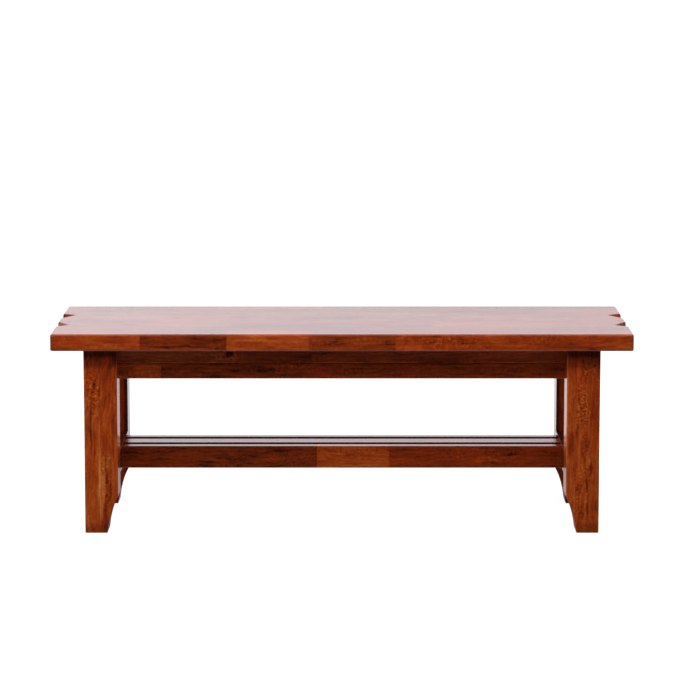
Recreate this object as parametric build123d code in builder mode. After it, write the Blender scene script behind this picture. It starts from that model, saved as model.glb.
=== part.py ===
from build123d import *

import os
from math import sqrt

# A backless hardwood bench with a slatted shelf between its legs, in millimetres.
# It stands on Z = 0, long along X, with its front towards -Y and its middle over the origin.

# Bench as a whole
bench_length = 1304
bench_depth = 432
bench_height = 458

# Seat, glued up from long boards
seat_thickness = 38
seat_board_count = 8
seat_arris_radius = 5
seat_underside_arris_radius = 3
seat_corner_radius = 8

# Three-cornered notches in the seat's ends, measured from the seat's long centre line
notch_near_corner = 26.5
notch_far_corner = 95
notch_apex_offset = 75
notch_depth = 28
tongue_corner_radius = 12

# Legs
leg_size = 75
leg_end_inset = 72
leg_front_inset = 24
leg_arris_radius = 3
foot_cut_height = 84
foot_cut_depth = 24.5
foot_arc_radius = 235
foot_arris_chamfer = 1.5

# Aprons under the seat
apron_height = 71
apron_thickness = 22
apron_setback = 28
apron_arris_radius = 2

# Lower side rails and the shelf that they carry
shelf_underside = 124
rail_height = 51
side_rail_thickness = 32
shelf_rail_thickness = 22
shelf_slat_width = 44
shelf_slat_thickness = 22
shelf_gap = 22
rail_arris_radius = 1

# Corner blocks, each with one bolt into its leg and a screw into each apron
block_height = 60
block_thickness = 28
block_screw_grip = 12
block_screw_share = 0.3
block_seat_screw_offset = 18

# Batten across the middle of the seat's underside
batten_width = 60
batten_thickness = 22
batten_screw_count = 4

# Dowels, each with half its length in either piece. Each wall is the wood left beside or
# beyond a dowel: between crossing dowels, or between a dowel and the face behind it.
frame_dowel_radius = 5
frame_dowel_wall = 5.9
apron_dowel_spacing = 40
side_rail_dowel_wall = 5
side_rail_dowel_spacing = 24
small_dowel_radius = 4
shelf_dowel_wall = 1.8
shelf_rail_dowel_spacing = 24
shelf_slat_dowel_spacing = 22
batten_dowel_wall = 10
batten_dowel_spacing = 30
dowel_end_chamfer = 0.8

# Bolts, washers and nuts
bolt_radius = 4
bolt_leg_depth = 40
bolt_tail = 4
bolt_end_chamfer = 0.8
washer_radius = 11
washer_thickness = 2
nut_across_flats = 13
nut_height = 6.5

# Screws, with the wood left beyond their tips
seat_screw_radius = 2.5
seat_screw_wall = 10
seat_screw_head_radius = 4.5
seat_screw_head_height = 3
block_screw_radius = 2
block_screw_wall = 6
block_screw_head_radius = 4
block_screw_head_height = 2.8
screw_head_round_share = 0.5
recess_width_share = 0.25
recess_span_share = 1.1
recess_depth_share = 0.6

# Room round dowels, bolts and screws in their holes, and how far cuts run past a face
fit_clearance = 0.1
head_clearance = 0.5
cut_overrun = 10

# Places worked out from the sizes
half_length = bench_length / 2
half_depth = bench_depth / 2
seat_underside = bench_height - seat_thickness
seat_board_width = bench_depth / seat_board_count
leg_outer_x = half_length - leg_end_inset
leg_inner_x = leg_outer_x - leg_size
leg_outer_y = half_depth - leg_front_inset
leg_inner_y = leg_outer_y - leg_size
apron_outer_x = leg_outer_x - apron_setback
apron_inner_x = apron_outer_x - apron_thickness
apron_outer_y = leg_outer_y - apron_setback
apron_inner_y = apron_outer_y - apron_thickness
apron_middle_x = apron_inner_x + apron_thickness / 2
apron_middle_y = apron_inner_y + apron_thickness / 2
apron_middle_z = seat_underside - apron_height / 2
rail_middle_z = shelf_underside + rail_height / 2
shelf_top = shelf_underside + rail_height
side_rail_outer_x = leg_inner_x + side_rail_thickness
side_rail_middle_x = (leg_inner_x + side_rail_outer_x) / 2
shelf_rail_middle_y = shelf_slat_width / 2 + shelf_gap + shelf_rail_thickness / 2
shelf_slat_middle_z = shelf_top - shelf_slat_thickness / 2
batten_middle_z = seat_underside - batten_thickness / 2
seat_screw_seat_z = seat_underside - batten_thickness
frame_hole_radius = frame_dowel_radius + fit_clearance
small_hole_radius = small_dowel_radius + fit_clearance
bolt_hole_radius = bolt_radius + fit_clearance

# How deep dowels and screws go, and where the side rails' dowels run
apron_reach_in_leg = leg_size - apron_setback - apron_thickness / 2
frame_dowel_depth = apron_reach_in_leg - frame_hole_radius - frame_dowel_wall
side_rail_dowel_x = side_rail_outer_x - side_rail_dowel_wall - frame_hole_radius
shelf_dowel_depth = side_rail_dowel_x - frame_hole_radius - shelf_dowel_wall - leg_inner_x
batten_dowel_depth = apron_thickness - batten_dowel_wall
seat_screw_length = batten_thickness + seat_thickness - seat_screw_wall
block_screw_length = block_screw_grip + apron_thickness - block_screw_wall

# A corner block spans the corner where two aprons' inner faces would meet. Its short side
# passes the leg's inner corner, and both its sides are measured along the aprons' faces.
block_short_side = (apron_inner_x - leg_inner_x) + (apron_inner_y - leg_inner_y)
block_long_side = block_short_side + block_thickness * sqrt(2)
block_middle_side = (block_short_side + block_long_side) / 2
block_screw_side = block_short_side + (block_long_side - block_short_side) * block_screw_share

both_ways = (-1, 1)

os.makedirs("parts", exist_ok=True)


def keep_piece(piece, name):
    """Labels a finished piece and writes it."""
    piece.part.label = name
    export_step(piece.part, f"parts/{name}.step")


def flipped(joint):
    """The same joint seen from the piece on its other side."""
    return Plane(origin=joint.origin, x_dir=joint.x_dir, z_dir=-joint.z_dir)


def drill_pair(joint, spacing, radius, depth):
    """Drills two dowel holes below the joint plane, in the part being built."""
    with Locations(joint):
        with GridLocations(spacing, 0, 2, 1):
            Hole(radius, depth)


def dowel_pairs(joints, spacing, radius, depth):
    """Adds two dowels at each joint plane, which go this deep on either side of it."""
    for joint in joints:
        with Locations(joint):
            with GridLocations(spacing, 0, 2, 1):
                dowel = Cylinder(radius, 2 * depth)
        chamfer(dowel.edges().filter_by(GeomType.CIRCLE), dowel_end_chamfer)


# Dowel joints. Each plane lies where two pieces meet, with its x along the row of dowels.
up = (0, 0, 1)
along = (1, 0, 0)
across = (0, 1, 0)
corners = [(end, side) for end in both_ways for side in both_ways]
long_apron_joints = [
    Plane(origin=(end * leg_inner_x, side * apron_middle_y, apron_middle_z), x_dir=up, z_dir=(end, 0, 0))
    for end, side in corners
]
end_apron_joints = [
    Plane(origin=(end * apron_middle_x, side * leg_inner_y, apron_middle_z), x_dir=up, z_dir=(0, side, 0))
    for end, side in corners
]
side_rail_joints = [
    Plane(origin=(end * side_rail_dowel_x, side * leg_inner_y, rail_middle_z), x_dir=up, z_dir=(0, side, 0))
    for end, side in corners
]
shelf_rail_joints = [
    Plane(origin=(end * leg_inner_x, side * shelf_rail_middle_y, rail_middle_z), x_dir=up, z_dir=(end, 0, 0))
    for end, side in corners
]
shelf_slat_joints = [
    Plane(origin=(end * leg_inner_x, 0, shelf_slat_middle_z), x_dir=across, z_dir=(end, 0, 0))
    for end in both_ways
]
batten_joints = [
    Plane(origin=(0, side * apron_inner_y, batten_middle_z), x_dir=along, z_dir=(0, side, 0))
    for side in both_ways
]

# Bolts and screws. Each plane lies where the washer or head sits and faces out of the wood.
bolt_seat_x = apron_inner_x - block_long_side / 2
bolt_seat_y = apron_inner_y - block_long_side / 2
bolt_seats = [
    Plane(origin=(end * bolt_seat_x, side * bolt_seat_y, apron_middle_z), x_dir=up, z_dir=(-end, -side, 0))
    for end, side in corners
]
long_screw_x = apron_inner_x - block_screw_side
long_screw_y = apron_inner_y - block_screw_grip
end_screw_x = apron_inner_x - block_screw_grip
end_screw_y = apron_inner_y - block_screw_side
block_screw_seats = [
    Plane(origin=(end * long_screw_x, side * long_screw_y, apron_middle_z), x_dir=up, z_dir=(0, -side, 0))
    for end, side in corners
] + [
    Plane(origin=(end * end_screw_x, side * end_screw_y, apron_middle_z), x_dir=up, z_dir=(-end, 0, 0))
    for end, side in corners
]
block_middle_x = apron_inner_x - block_middle_side / 2
block_middle_y = apron_inner_y - block_middle_side / 2
block_seat_screw_shift = block_seat_screw_offset / sqrt(2)
block_seat_screw_places = [
    (
        end * (block_middle_x + way * block_seat_screw_shift),
        side * (block_middle_y - way * block_seat_screw_shift),
    )
    for end, side in corners
    for way in both_ways
]
batten_screw_places = [
    (0, (step - (batten_screw_count - 1) / 2) * seat_board_width) for step in range(batten_screw_count)
]
seat_screw_seats = [
    Plane(origin=(x, y, seat_screw_seat_z), x_dir=along, z_dir=(0, 0, -1))
    for x, y in block_seat_screw_places + batten_screw_places
]
head_align = (Align.CENTER, Align.CENTER, Align.MIN)
shank_align = (Align.CENTER, Align.CENTER, Align.MAX)


def drill_screw(seats, shank_radius, shank_length, head_radius):
    """Drills each screw's shank hole and clears the way for its head."""
    with Locations(*seats):
        Hole(shank_radius + fit_clearance, shank_length)
        Cylinder(head_radius + head_clearance, block_height, align=head_align, mode=Mode.SUBTRACT)


def drill_seat_screws():
    """Drills for the screws that rise into the seat."""
    drill_screw(seat_screw_seats, seat_screw_radius, seat_screw_length, seat_screw_head_radius)


def drill_block_screws():
    """Drills for the screws from the corner blocks into the aprons."""
    drill_screw(block_screw_seats, block_screw_radius, block_screw_length, block_screw_head_radius)


def drill_bolts():
    """Drills for the bolts from the corner blocks into the legs."""
    with Locations(*bolt_seats):
        Hole(bolt_hole_radius, block_thickness + bolt_leg_depth)


def stands_at(edge, distance):
    """Whether an upright edge stands at this distance from the seat's long centre line."""
    return abs(abs(edge.center().Y) - distance) < fit_clearance


# Seat
with BuildPart() as seat_panel:
    with BuildSketch(Plane.XY.offset(seat_underside)):
        Rectangle(bench_length, bench_depth)
        for end, side in corners:
            with BuildLine():
                Polyline(
                    (end * half_length, side * notch_near_corner),
                    (end * (half_length - notch_depth), side * notch_apex_offset),
                    (end * half_length, side * notch_far_corner),
                    close=True,
                )
            make_face(mode=Mode.SUBTRACT)
    extrude(amount=seat_thickness)
    upright_edges = seat_panel.edges().filter_by(Axis.Z)
    seat_corners = upright_edges.filter_by(lambda edge: stands_at(edge, half_depth))
    tongue_corners = upright_edges.filter_by(lambda edge: stands_at(edge, notch_near_corner))
    fillet(seat_corners, seat_corner_radius)
    fillet(tongue_corners, tongue_corner_radius)
    fillet(seat_panel.faces().sort_by(Axis.Z)[-1].outer_wire().edges(), seat_arris_radius)
    fillet(seat_panel.faces().sort_by(Axis.Z)[0].outer_wire().edges(), seat_underside_arris_radius)
    drill_seat_screws()

for index in range(seat_board_count):
    board_middle_y = (index + 0.5) * seat_board_width - half_depth
    with BuildPart() as seat_board:
        add(seat_panel.part)
        with Locations((0, board_middle_y, seat_underside + seat_thickness / 2)):
            Box(
                bench_length + cut_overrun,
                seat_board_width,
                seat_thickness + cut_overrun,
                mode=Mode.INTERSECT,
            )
    keep_piece(seat_board, f"seat_board_{index + 1}")

# Legs. The front right one is drawn in front view and the others mirror it.
with BuildPart() as front_right_leg:
    with BuildSketch(Plane.XZ.offset(leg_inner_y)):
        with BuildLine():
            Polyline(
                (leg_inner_x, foot_cut_height),
                (leg_inner_x, seat_underside),
                (leg_outer_x, seat_underside),
                (leg_outer_x, 0),
                (leg_inner_x + foot_cut_depth, 0),
            )
            RadiusArc(
                (leg_inner_x + foot_cut_depth, 0), (leg_inner_x, foot_cut_height), -foot_arc_radius
            )
        make_face()
    extrude(amount=leg_size)
    chamfer(front_right_leg.faces().sort_by(Axis.Z)[0].edges(), foot_arris_chamfer)
    leg_faces = front_right_leg.faces().filter_by(Axis.Y)
    fillet(leg_faces.edges().filter_by(Axis.X, reverse=True), leg_arris_radius)
    for joint in long_apron_joints + end_apron_joints:
        drill_pair(flipped(joint), apron_dowel_spacing, frame_hole_radius, frame_dowel_depth)
    for joint in side_rail_joints:
        drill_pair(flipped(joint), side_rail_dowel_spacing, frame_hole_radius, frame_dowel_depth)
    drill_bolts()
keep_piece(front_right_leg, "front_right_leg")

with BuildPart() as front_left_leg:
    mirror(front_right_leg.part, about=Plane.YZ)
keep_piece(front_left_leg, "front_left_leg")

with BuildPart() as rear_right_leg:
    mirror(front_right_leg.part, about=Plane.XZ)
keep_piece(rear_right_leg, "rear_right_leg")

with BuildPart() as rear_left_leg:
    mirror(rear_right_leg.part, about=Plane.YZ)
keep_piece(rear_left_leg, "rear_left_leg")

# Aprons
with BuildPart() as front_apron:
    with Locations((0, -apron_middle_y, apron_middle_z)):
        Box(2 * leg_inner_x, apron_thickness, apron_height)
    fillet(front_apron.faces().sort_by(Axis.Z)[0].edges().filter_by(Axis.X), apron_arris_radius)
    for joint in long_apron_joints:
        drill_pair(joint, apron_dowel_spacing, frame_hole_radius, frame_dowel_depth)
    for joint in batten_joints:
        drill_pair(flipped(joint), batten_dowel_spacing, small_hole_radius, batten_dowel_depth)
    drill_block_screws()
keep_piece(front_apron, "front_apron")

with BuildPart() as rear_apron:
    mirror(front_apron.part, about=Plane.XZ)
keep_piece(rear_apron, "rear_apron")

with BuildPart() as right_apron:
    with Locations((apron_middle_x, 0, apron_middle_z)):
        Box(apron_thickness, 2 * leg_inner_y, apron_height)
    fillet(right_apron.faces().sort_by(Axis.Z)[0].edges().filter_by(Axis.Y), apron_arris_radius)
    for joint in end_apron_joints:
        drill_pair(joint, apron_dowel_spacing, frame_hole_radius, frame_dowel_depth)
    drill_block_screws()
keep_piece(right_apron, "right_apron")

with BuildPart() as left_apron:
    mirror(right_apron.part, about=Plane.YZ)
keep_piece(left_apron, "left_apron")

# Lower side rails
with BuildPart() as right_side_rail:
    with Locations((side_rail_middle_x, 0, rail_middle_z)):
        Box(side_rail_thickness, 2 * leg_inner_y, rail_height)
    fillet(right_side_rail.edges().filter_by(Axis.Y), rail_arris_radius)
    for joint in side_rail_joints:
        drill_pair(joint, side_rail_dowel_spacing, frame_hole_radius, frame_dowel_depth)
    for joint in shelf_rail_joints:
        drill_pair(flipped(joint), shelf_rail_dowel_spacing, small_hole_radius, shelf_dowel_depth)
    for joint in shelf_slat_joints:
        drill_pair(flipped(joint), shelf_slat_dowel_spacing, small_hole_radius, shelf_dowel_depth)
keep_piece(right_side_rail, "right_side_rail")

with BuildPart() as left_side_rail:
    mirror(right_side_rail.part, about=Plane.YZ)
keep_piece(left_side_rail, "left_side_rail")

# Shelf
with BuildPart() as front_shelf_rail:
    with Locations((0, -shelf_rail_middle_y, rail_middle_z)):
        Box(2 * leg_inner_x, shelf_rail_thickness, rail_height)
    fillet(front_shelf_rail.edges().filter_by(Axis.X), rail_arris_radius)
    for joint in shelf_rail_joints:
        drill_pair(joint, shelf_rail_dowel_spacing, small_hole_radius, shelf_dowel_depth)
keep_piece(front_shelf_rail, "front_shelf_rail")

with BuildPart() as rear_shelf_rail:
    mirror(front_shelf_rail.part, about=Plane.XZ)
keep_piece(rear_shelf_rail, "rear_shelf_rail")

with BuildPart() as middle_shelf_slat:
    with Locations((0, 0, shelf_slat_middle_z)):
        Box(2 * leg_inner_x, shelf_slat_width, shelf_slat_thickness)
    fillet(middle_shelf_slat.edges().filter_by(Axis.X), rail_arris_radius)
    for joint in shelf_slat_joints:
        drill_pair(joint, shelf_slat_dowel_spacing, small_hole_radius, shelf_dowel_depth)
keep_piece(middle_shelf_slat, "middle_shelf_slat")

# Batten under the middle of the seat
with BuildPart() as centre_batten:
    with Locations((0, 0, batten_middle_z)):
        Box(batten_width, 2 * apron_inner_y, batten_thickness)
    fillet(centre_batten.faces().sort_by(Axis.Z)[0].edges().filter_by(Axis.Y), rail_arris_radius)
    for joint in batten_joints:
        drill_pair(joint, batten_dowel_spacing, small_hole_radius, batten_dowel_depth)
    drill_seat_screws()
keep_piece(centre_batten, "centre_batten")

# Corner blocks. The front right one is drawn in plan and the others mirror it.
block_plan = Plane(
    origin=(apron_inner_x, -apron_inner_y, seat_underside), x_dir=(-1, 0, 0), z_dir=(0, 0, -1)
)
with BuildPart() as front_right_block:
    with BuildSketch(block_plan):
        with BuildLine():
            Polyline(
                (block_short_side, 0),
                (block_long_side, 0),
                (0, block_long_side),
                (0, block_short_side),
                close=True,
            )
        make_face()
    extrude(amount=block_height)
    drill_bolts()
    drill_block_screws()
    drill_seat_screws()
keep_piece(front_right_block, "front_right_block")

with BuildPart() as front_left_block:
    mirror(front_right_block.part, about=Plane.YZ)
keep_piece(front_left_block, "front_left_block")

with BuildPart() as rear_right_block:
    mirror(front_right_block.part, about=Plane.XZ)
keep_piece(rear_right_block, "rear_right_block")

with BuildPart() as rear_left_block:
    mirror(rear_right_block.part, about=Plane.YZ)
keep_piece(rear_left_block, "rear_left_block")

# Dowels
with BuildPart() as apron_dowels:
    dowel_pairs(
        long_apron_joints + end_apron_joints, apron_dowel_spacing, frame_dowel_radius, frame_dowel_depth
    )
keep_piece(apron_dowels, "apron_dowels")

with BuildPart() as side_rail_dowels:
    dowel_pairs(side_rail_joints, side_rail_dowel_spacing, frame_dowel_radius, frame_dowel_depth)
keep_piece(side_rail_dowels, "side_rail_dowels")

with BuildPart() as shelf_dowels:
    dowel_pairs(shelf_rail_joints, shelf_rail_dowel_spacing, small_dowel_radius, shelf_dowel_depth)
    dowel_pairs(shelf_slat_joints, shelf_slat_dowel_spacing, small_dowel_radius, shelf_dowel_depth)
keep_piece(shelf_dowels, "shelf_dowels")

with BuildPart() as batten_dowels:
    dowel_pairs(batten_joints, batten_dowel_spacing, small_dowel_radius, batten_dowel_depth)
keep_piece(batten_dowels, "batten_dowels")

# Bolts through the corner blocks into the legs, with a washer and a nut on each
bolt_outside = washer_thickness + nut_height + bolt_tail
with BuildPart() as one_bolt:
    with Locations((0, 0, bolt_outside)):
        Cylinder(bolt_radius, block_thickness + bolt_leg_depth + bolt_outside, align=shank_align)
    chamfer(one_bolt.edges().filter_by(GeomType.CIRCLE), bolt_end_chamfer)

with BuildPart() as leg_bolts:
    with Locations(*bolt_seats):
        add(one_bolt.part)
keep_piece(leg_bolts, "leg_bolts")

with BuildPart() as leg_bolt_washers:
    with Locations(*bolt_seats):
        Cylinder(washer_radius, washer_thickness, align=head_align)
        Hole(bolt_hole_radius, washer_thickness)
keep_piece(leg_bolt_washers, "leg_bolt_washers")

with BuildPart() as one_nut:
    with BuildSketch(Plane.XY.offset(washer_thickness)):
        RegularPolygon(nut_across_flats / 2, 6, major_radius=False)
        Circle(bolt_hole_radius, mode=Mode.SUBTRACT)
    extrude(amount=nut_height)

with BuildPart() as leg_bolt_nuts:
    with Locations(*bolt_seats):
        add(one_nut.part)
keep_piece(leg_bolt_nuts, "leg_bolt_nuts")


def round_head_screw(shank_radius, shank_length, head_radius, head_height):
    """One cross-recessed screw with the underside of its head on Z = 0."""
    recess_span = 2 * shank_radius * recess_span_share
    recess_width = recess_span * recess_width_share
    recess_depth = head_height * recess_depth_share
    with BuildPart() as screw:
        Cylinder(shank_radius, shank_length, align=shank_align)
        Cylinder(head_radius, head_height, align=head_align)
        fillet(screw.edges().sort_by(Axis.Z)[-1], head_height * screw_head_round_share)
        with BuildSketch(Plane.XY.offset(head_height)):
            Rectangle(recess_span, recess_width)
            Rectangle(recess_width, recess_span)
        extrude(amount=-recess_depth, mode=Mode.SUBTRACT)
    return screw.part


one_block_screw = round_head_screw(
    block_screw_radius, block_screw_length, block_screw_head_radius, block_screw_head_height
)
with BuildPart() as corner_block_screws:
    with Locations(*block_screw_seats):
        add(one_block_screw)
keep_piece(corner_block_screws, "corner_block_screws")

one_seat_screw = round_head_screw(
    seat_screw_radius, seat_screw_length, seat_screw_head_radius, seat_screw_head_height
)
with BuildPart() as seat_screws:
    with Locations(*seat_screw_seats):
        add(one_seat_screw)
keep_piece(seat_screws, "seat_screws")
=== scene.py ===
import random
from math import radians, tau

import bpy
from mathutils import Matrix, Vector


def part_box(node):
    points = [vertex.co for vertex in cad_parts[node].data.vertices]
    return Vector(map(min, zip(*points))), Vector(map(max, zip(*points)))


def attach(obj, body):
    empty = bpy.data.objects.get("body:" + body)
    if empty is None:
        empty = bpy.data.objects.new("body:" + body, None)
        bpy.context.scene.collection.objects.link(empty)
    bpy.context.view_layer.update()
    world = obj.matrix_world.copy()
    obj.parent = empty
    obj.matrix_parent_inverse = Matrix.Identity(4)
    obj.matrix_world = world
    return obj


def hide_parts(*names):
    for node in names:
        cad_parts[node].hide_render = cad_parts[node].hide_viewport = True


# A backless hardwood bench with a slatted shelf: its stained and lacquered finish, its
# hardware, and a plain white studio round it. Lengths are in metres.
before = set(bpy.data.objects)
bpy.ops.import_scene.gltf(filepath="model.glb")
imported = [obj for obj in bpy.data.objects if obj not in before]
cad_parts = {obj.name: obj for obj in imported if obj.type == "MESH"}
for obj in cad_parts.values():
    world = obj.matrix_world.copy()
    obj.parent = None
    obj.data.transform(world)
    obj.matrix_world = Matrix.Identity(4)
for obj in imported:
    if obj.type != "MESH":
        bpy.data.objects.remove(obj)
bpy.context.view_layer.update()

# Camera, worked out from the bench's edges in the photograph
picture_side = 700
camera_place = (0, -6.4606, 1.4509)
camera_dip = radians(7.775)
focal_length_pixels = 2835
lens_axis_pixel = (341.95, 272.2)
sensor_width = 36
farthest_sight = 100

# Studio
floor_drop = 0.0002
floor_reach = 30
floor_white = 0.18
floor_glow = 0.93
far_floor_glow = 1.1
floor_glow_radii = (0.5, 1.6)
room_light = 0.15

# What the lacquer mirrors of the room. Each pair says where a part starts and where it is full,
# as a height or a way round on a ball of radius 1.
side_shine = 0.16
front_shine = 0.012
front_sides = (-0.2, -0.7)
front_heights = (0.8, 0.5)
backdrop_shine = 1.23
backdrop_tint = (1, 0.985, 1.03, 1)
backdrop_fall = 0.7
backdrop_sides = (0.5, 0.9)
backdrop_foot = (-0.24, -0.17)
backdrop_head = (0.75, 0.4)
ceiling_shine = 0.5
ceiling_heights = (0.55, 0.8)
floor_shine = 0.9
floor_heights = (-0.62, -0.8)

# Softboxes: where each stands, the point that it faces, its width, height and power, and
# whether the lacquer mirrors it
softboxes = {
    "key": ((-0.15, -2.05, 2.66), (0, -0.2, 0.3), 3.4, 1.8, 118, False),
    "left_side": ((-2.4, -1.6, 1.9), (0.2, -0.15, 0.3), 0.8, 1.6, 50, True),
    "right_side": ((2.4, -1.6, 1.9), (-0.2, -0.15, 0.3), 0.8, 1.6, 24, True),
    "back_fill": ((0, 3.2, 2.4), (0, 0, 0.3), 4, 1.4, 22, True),
    "right_rim": ((1.3, 1.3, 0.2), (-0.505, -0.155, 0.24), 0.7, 0.3, 50, False),
    "left_rim": ((-1.3, 1.3, 0.2), (0.505, -0.155, 0.24), 0.7, 0.3, 50, False),
}

# Seeds of the random choices, and of the grain in each kind of piece
wood_seed = 7
grain_seeds = {
    "legs": 20,
    "long_aprons": 31,
    "end_aprons": 40,
    "side_rails": 44,
    "shelf": 50,
    "inside": 60,
    "dowels": 70,
}

# Woodwork: the shortest and longest staves, how light the end aprons may be, how red the legs'
# uprights are by turns, the reach of the marks that go right across a leg, and how far below a
# leg's top the painted shade under the seat is centred
seat_board_count = 8
seat_staves = (0.16, 0.4)
apron_staves = (0.2, 0.42)
shelf_staves = (0.25, 0.45)
end_apron_tones = (0.38, 0.52)
leg_reds = (0.4, 0.55)
leg_mark_reach = 0.2
shade_drop = 0.026
inner_pieces = ("front_left_block", "front_right_block", "rear_left_block", "rear_right_block",
                "centre_batten")
dowel_nodes = [
    ("apron_dowels", "X", "Y"),
    ("side_rail_dowels", "Y", "X"),
    ("shelf_dowels", "X", "Y"),
    ("batten_dowels", "Y", "X"),
]

# Hardware, as the frame holds it
bolt_radius = 0.004
bolt_depth = 0.068
bolt_reach = 0.0125
bolt_pitch = 0.00125
washer_radius = 0.011
washer_thickness = 0.002
washer_clearance = 0.0002
washer_chamfer = 0.0003
nut_sides = 6
nut_across_flats = 0.013
nut_height = 0.0065
nut_clearance = 0.0001
nut_chamfer = 0.0011
seat_screw_radius = 0.0025
seat_screw_length = 0.05
seat_screw_head = (0.0045, 0.003)
block_screw_radius = 0.002
block_screw_length = 0.028
block_screw_head = (0.004, 0.0028)
block_screw_grip = 0.012
block_screw_share = 0.3
block_seat_screw_offset = 0.018
block_thickness = 0.028
batten_screw_count = 4
screw_pitch_share = 0.95
weld_distance = 1e-6


class Wire:
    """One output of a node, on which sums are written as plain expressions."""

    def __init__(self, nodes, socket):
        self.nodes = nodes
        self.socket = socket

    def maths(self, operation, *values, clamp=False):
        """What one Math node makes of the values."""
        settings = {"operation": operation, "use_clamp": clamp}
        return self.nodes.node("ShaderNodeMath", settings, values)

    def __add__(self, other):
        return self.maths("ADD", self, other)

    __radd__ = __add__

    def __sub__(self, other):
        return self.maths("SUBTRACT", self, other)

    def __rsub__(self, other):
        return self.maths("SUBTRACT", other, self)

    def __mul__(self, other):
        return self.maths("MULTIPLY", self, other)

    __rmul__ = __mul__

    def __truediv__(self, other):
        return self.maths("DIVIDE", self, other)

    def __rtruediv__(self, other):
        return self.maths("DIVIDE", other, self)

    def __pow__(self, other):
        return self.maths("POWER", self, other)

    def __mod__(self, other):
        return self.maths("FLOORED_MODULO", self, other)

    def __neg__(self):
        return self.maths("MULTIPLY", self, -1)

    def __abs__(self):
        return self.maths("ABSOLUTE", self)

    def above(self, limit):
        """1 where the value is above the limit, and 0 elsewhere."""
        return self.maths("GREATER_THAN", self, limit)

    def least(self, other):
        return self.maths("MINIMUM", self, other)

    def most(self, other):
        return self.maths("MAXIMUM", self, other)

    def cosine(self):
        return self.maths("COSINE", self)

    def sine(self):
        return self.maths("SINE", self)

    def kept(self):
        """The value held between 0 and 1."""
        return self.maths("ADD", self, 0, clamp=True)

    def ease(self, start, end, first=0, last=1):
        """A smooth change from first to last as the value goes from start to end."""
        places = {"Value": self, "From Min": start, "From Max": end, "To Min": first, "To Max": last}
        return self.nodes.node("ShaderNodeMapRange", {"interpolation_type": "SMOOTHSTEP"}, places)

    def parts(self):
        """The three parts of a vector or colour."""
        return [
            self.nodes.node("ShaderNodeSeparateXYZ", {}, [self], output=index) for index in range(3)
        ]


class Nodes:
    """A node tree, and the one way in which nodes are added to it."""

    def __init__(self, tree):
        self.tree = tree
        tree.nodes.clear()

    def node(self, kind, settings=None, inputs=(), output=0):
        """Adds a node with its settings, then its inputs, which are values or wires."""
        node = self.tree.nodes.new(kind)
        for setting, value in (settings or {}).items():
            if setting == "stops":
                fill_ramp(node.color_ramp, value)
            elif setting == "interpolation":
                node.color_ramp.interpolation = value
            else:
                setattr(node, setting, value)
        pairs = inputs.items() if isinstance(inputs, dict) else enumerate(inputs)
        for place, value in pairs:
            if isinstance(value, Wire):
                self.tree.links.new(value.socket, node.inputs[place])
            else:
                node.inputs[place].default_value = value
        return Wire(self, node.outputs[output]) if node.outputs else node

    def point(self, x, y, z):
        return self.node("ShaderNodeCombineXYZ", {}, [x, y, z])

    def noise(self, place, detail=2, roughness=0.5, scale=1):
        """Noise of about 0 to 1, as fine as its scale and its place's stretch make it."""
        inputs = {"Vector": place, "Scale": scale, "Detail": detail, "Roughness": roughness}
        return self.node("ShaderNodeTexNoise", {}, inputs)

    def chance(self, place):
        """A random colour that belongs to a place."""
        return self.node("ShaderNodeTexWhiteNoise", {"noise_dimensions": "3D"}, [place], "Color")

    def ramp(self, value, stops, interpolation="LINEAR"):
        settings = {"stops": stops, "interpolation": interpolation}
        return self.node("ShaderNodeValToRGB", settings, [value])

    def follow(self, value, stops):
        """Straight lines from stop to stop, each a place and the value that is reached there."""
        total = stops[0][1]
        for (start, first), (end, last) in zip(stops, stops[1:]):
            step = {"Value": value, "From Min": start, "From Max": end, "To Min": 0}
            step["To Max"] = last - first
            total = self.node("ShaderNodeMapRange", {"clamp": True}, step) + total
        return total

    def blend(self, amount, first, second, way="MIX"):
        """A colour between the first and the second, or the first changed by the second."""
        settings = {"data_type": "RGBA", "blend_type": way}
        return self.node("ShaderNodeMix", settings, {0: amount, 6: first, 7: second}, output=2)


def fill_ramp(color_ramp, stops):
    """Sets a colour ramp's stops, each a place from 0 to 1 and a colour."""
    while len(color_ramp.elements) > 1:
        color_ramp.elements.remove(color_ramp.elements[-1])
    color_ramp.elements[0].position = stops[0][0]
    for place, _ in stops[1:]:
        color_ramp.elements.new(place)
    for element, (_, colour) in zip(color_ramp.elements, stops):
        element.color = (*colour, 1)


def paint(*levels):
    """A colour as light, from the red, green and blue of 0 to 255 that a screen shows it with."""
    return tuple(
        share / 12.92 if share <= 0.04045 else ((share + 0.055) / 1.055) ** 2.4
        for share in (level / 255 for level in levels)
    )


class Finish(Nodes):
    """The node tree of a new material."""

    def __init__(self, name):
        self.material = bpy.data.materials.new(name)
        self.material.use_nodes = True
        super().__init__(self.material.node_tree)

    def end(self, shader):
        """Joins the shader to the output, and gives the finished material."""
        self.node("ShaderNodeOutputMaterial", {}, [shader])
        return self.material


def dress(node, material):
    """Gives a CAD node's object this finish."""
    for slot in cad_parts[node].material_slots:
        slot.material = material


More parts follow.
